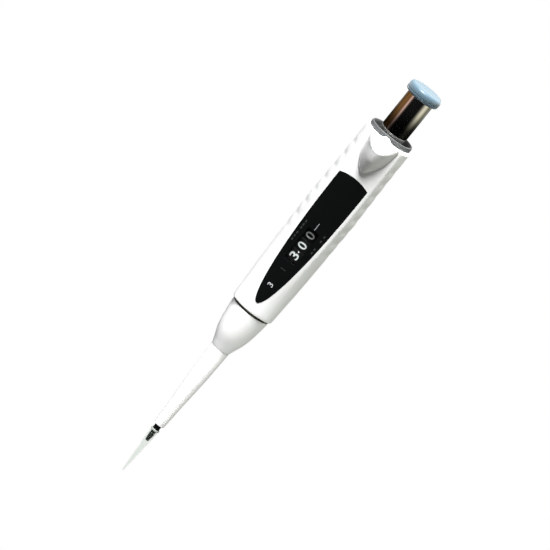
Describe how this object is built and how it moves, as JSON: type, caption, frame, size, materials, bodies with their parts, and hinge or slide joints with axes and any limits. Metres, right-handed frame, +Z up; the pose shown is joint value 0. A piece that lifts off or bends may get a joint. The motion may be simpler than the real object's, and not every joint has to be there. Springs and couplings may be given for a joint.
{
  "type": "mechanical pipette",
  "caption": "Hand-held single-channel air-displacement pipette with a turning and pressing button, number-drum display, finger hook, tip ejector and a fitted disposable tip.",
  "frame": {"origin": "on the pipette's axis, in the plane of the flat under the finger hook, where a stand's fork carries it; the tip's end is 240.5 mm below", "axes": "+Z runs up the pipette's axis from the tip to the button, -Y is the side with the display and the ejector's thumb pad, +Y the side with the finger hook, +X to the right seen from the display side"},
  "size_m": [0.0318, 0.0655, 0.285],
  "materials": {
    "white_plastic": "satin moulded",
    "grip_plastic": "fine satin moulded, ribbed",
    "display_black": "high gloss",
    "lens_clear": "clear, polished",
    "collar_grey": "satin moulded",
    "cap_blue": "satin moulded",
    "chrome": "polished",
    "steel": "ground",
    "brass": "machined",
    "frame_grey": "moulded",
    "drum_black": "satin, printed with numbers",
    "barrel_black": "satin moulded",
    "nut_brown": "matt moulded",
    "seal_white": "soft moulded",
    "seal_rubber": "matt",
    "tip_clear": "clear thin-walled moulding"
  },
  "bodies": {
    "handle": {"front_shell": "white_plastic", "rear_shell": "grip_plastic", "finger_hook": "white_plastic", "display_panel": "display_black", "display_lens": "lens_clear", "top_collar": "collar_grey", "counter_frame": "frame_grey", "pinion_shaft": "steel", "click_spring": "steel", "upper_bulkhead": "frame_grey", "volume_nut": "brass", "ejector_guide": "frame_grey", "lower_bulkhead": "frame_grey", "calibration_nut": "brass", "main_spring": "steel", "blowout_spring": "steel", "stop_plate": "steel", "cylinder": "barrel_black", "coupling_nut": "nut_brown", "piston_seal": "seal_white", "o_ring": "seal_rubber", "seal_retainer": "brass", "shell_screw_left": "steel", "shell_screw_right": "steel", "ejector_spring": "steel"},
    "volume_drive": {"drive_sleeve": "frame_grey", "click_wheel": "frame_grey", "drum_hundredths": "drum_black"},
    "volume_screw": {"volume_screw": "brass"},
    "drum_tenths": {"drum_tenths": "drum_black"},
    "drum_ones": {"drum_ones": "drum_black"},
    "pinion_upper": {"pinion_upper": "frame_grey"},
    "pinion_lower": {"pinion_lower": "frame_grey"},
    "plunger": {"operating_rod": "steel", "stop_collar": "steel", "button_sleeve": "chrome", "button_retainer": "frame_grey", "button_head": "cap_blue", "colour_cap": "cap_blue", "piston_head": "barrel_black", "piston": "steel"},
    "ejector": {"ejector_button": "white_plastic", "ejector_rod": "steel", "rod_clip": "steel", "ejector_cone": "white_plastic", "ejector_collar": "white_plastic"},
    "tip": {"tip": "tip_clear"}
  },
  "joints": [
    {"name": "volume_dial", "type": "hinge", "parent": "handle", "child": "volume_drive", "pos_m": [0, 0, 0], "axis": [0, 0, 1], "range_deg": [-10440, 0]},
    {"name": "volume_screw_travel", "type": "slide", "parent": "volume_drive", "child": "volume_screw", "axis": [0, 0, 1], "range_m": [-0.01015, 0]},
    {"name": "drum_tenths_turn", "type": "hinge", "parent": "handle", "child": "drum_tenths", "pos_m": [0, 0, 0], "axis": [0, 0, 1], "range_deg": [-1044, 0]},
    {"name": "drum_ones_turn", "type": "hinge", "parent": "handle", "child": "drum_ones", "pos_m": [0, 0, 0], "axis": [0, 0, 1], "range_deg": [-104.4, 0]},
    {"name": "pinion_upper_turn", "type": "hinge", "parent": "handle", "child": "pinion_upper", "pos_m": [0, 0.0144, 0], "axis": [0, 0, 1], "range_deg": [0, 2610]},
    {"name": "pinion_lower_turn", "type": "hinge", "parent": "handle", "child": "pinion_lower", "pos_m": [0, 0.0144, 0], "axis": [0, 0, 1], "range_deg": [0, 261]},
    {"name": "plunger_press", "type": "slide", "parent": "volume_screw", "child": "plunger", "axis": [0, 0, -1], "range_m": [0, 0.0136], "stiffness_N_per_m": 220, "springref_m": -0.01, "deforming": ["main_spring"]},
    {"name": "ejector_press", "type": "slide", "parent": "handle", "child": "ejector", "axis": [0, 0, -1], "range_m": [0, 0.006], "stiffness_N_per_m": 450, "springref_m": -0.006, "deforming": ["ejector_spring"]},
    {"name": "tip_release", "type": "slide", "parent": "ejector", "child": "tip", "axis": [0, 0, -1], "range_m": [0, 0.036]}
  ],
  "couplings": [
    {"joint": "volume_dial", "follows": "volume_screw_travel", "rad_per_m": 17952},
    {"joint": "drum_tenths_turn", "follows": "volume_screw_travel", "rad_per_m": 1795.2},
    {"joint": "drum_ones_turn", "follows": "volume_screw_travel", "rad_per_m": 179.52},
    {"joint": "pinion_upper_turn", "follows": "volume_screw_travel", "rad_per_m": -4488},
    {"joint": "pinion_lower_turn", "follows": "volume_screw_travel", "rad_per_m": -448.8}
  ]
}
